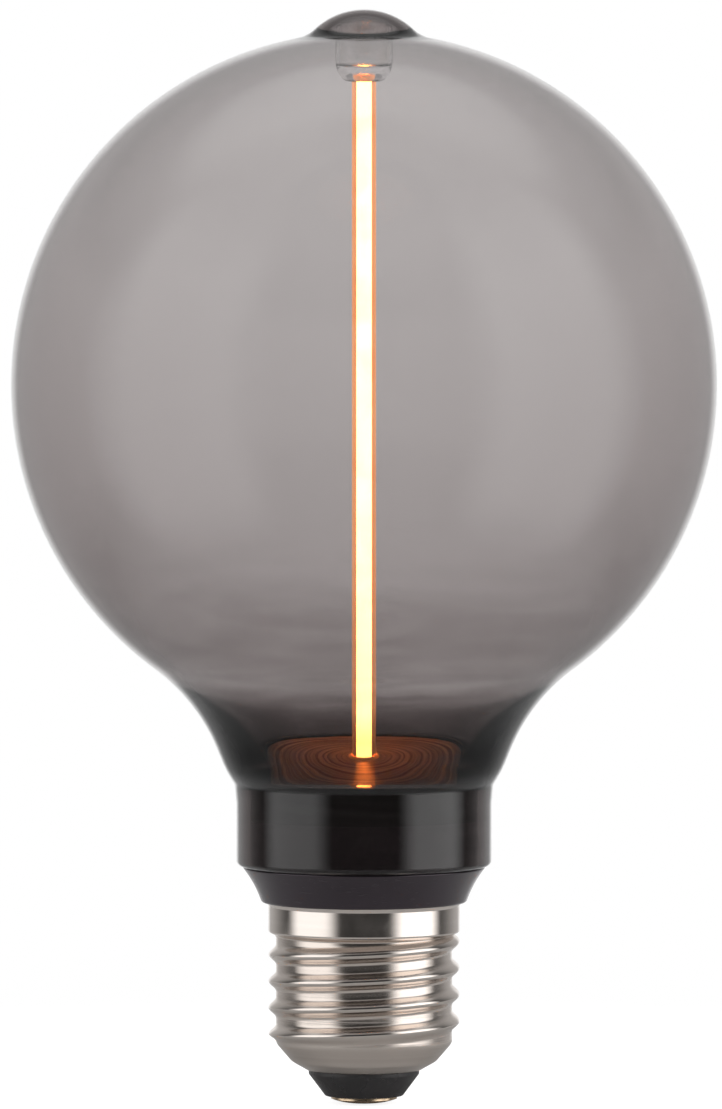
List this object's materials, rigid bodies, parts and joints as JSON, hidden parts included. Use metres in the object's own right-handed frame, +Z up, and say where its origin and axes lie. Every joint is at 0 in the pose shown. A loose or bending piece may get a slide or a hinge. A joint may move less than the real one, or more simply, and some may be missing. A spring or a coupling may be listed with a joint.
{
  "type": "light bulb",
  "caption": "Globe light bulb of smoke-grey glass with a straight glowing light line on its axis, a charcoal base and an E27 screw cap.",
  "frame": {"origin": "tip of the centre contact, on the bulb's axis", "axes": "+Z up the axis from the cap to the globe, -Y towards the picture's camera, +X to its right"},
  "size_m": [0.096, 0.096, 0.1489],
  "materials": {
    "smoke_glass": "clear smoke-grey glass, polished",
    "clear_glass": "clear, polished",
    "glow": "glowing warm white",
    "amber_plastic": "translucent amber",
    "turned_metal": "fine turned rings",
    "black_metal": "black",
    "white_board": "white",
    "phosphor": "yellow",
    "tinned_wire": "tinned",
    "charcoal_plastic": "satin",
    "nickel_plate": "polished nickel",
    "black_insulator": "glazed black",
    "contact_brass": "plain",
    "green_board": "green",
    "can_sleeve": "shrink sleeve",
    "chip_resin": "moulded",
    "resistor_coat": "painted",
    "ferrite": "plain"
  },
  "bodies": {
    "root": {"glass_globe": "smoke_glass", "tip_cup": "clear_glass", "light_tube": "clear_glass", "glow_core": "glow", "tube_seat": "amber_plastic", "turned_disc": "turned_metal", "heat_sink_cup": "black_metal", "led_board": "white_board", "led_chip": "phosphor", "led_pins": "tinned_wire", "base_housing": "charcoal_plastic", "screw_shell": "nickel_plate", "cap_insulator": "black_insulator", "centre_contact": "contact_brass", "driver_board": "green_board", "smoothing_capacitor": "can_sleeve", "driver_chip": "chip_resin", "bridge_rectifier": "chip_resin", "fuse_resistor": "resistor_coat", "choke_coil": "ferrite", "live_lead": "tinned_wire", "neutral_lead": "tinned_wire"}
  },
  "joints": []
}
